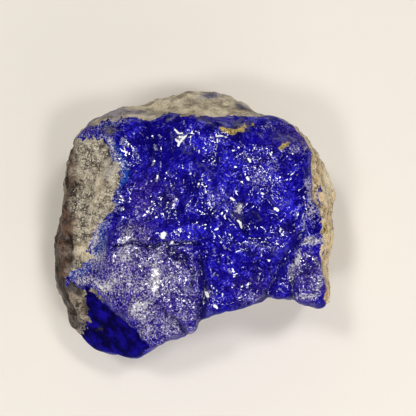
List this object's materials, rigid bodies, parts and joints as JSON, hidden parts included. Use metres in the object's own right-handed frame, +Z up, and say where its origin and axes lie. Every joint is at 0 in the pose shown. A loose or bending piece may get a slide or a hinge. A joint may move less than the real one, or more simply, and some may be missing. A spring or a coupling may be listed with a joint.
{
  "type": "lapis lazuli rough block",
  "caption": "Broken block of blue lapis lazuli backed by pale matrix, lying on its flat back with the blue face up.",
  "frame": {"origin": "on the flat joint face at the back of the stone, straight below the middle of the blue face", "axes": "+Z up, away from the joint face that the stone lies on. +X across the blue face to the thin tan rind. +Y towards the pale ridge. The blue face leans 12 degrees towards -Y"},
  "size_m": [0.0629, 0.0627, 0.0379],
  "materials": {
    "lapis_stone": "glossy, fresh-broken ultramarine face with calcite and pyrite; dull grey, tan and beige matrix on the sides and back"
  },
  "bodies": {
    "root": {"lapis_block": "lapis_stone"}
  },
  "joints": []
}
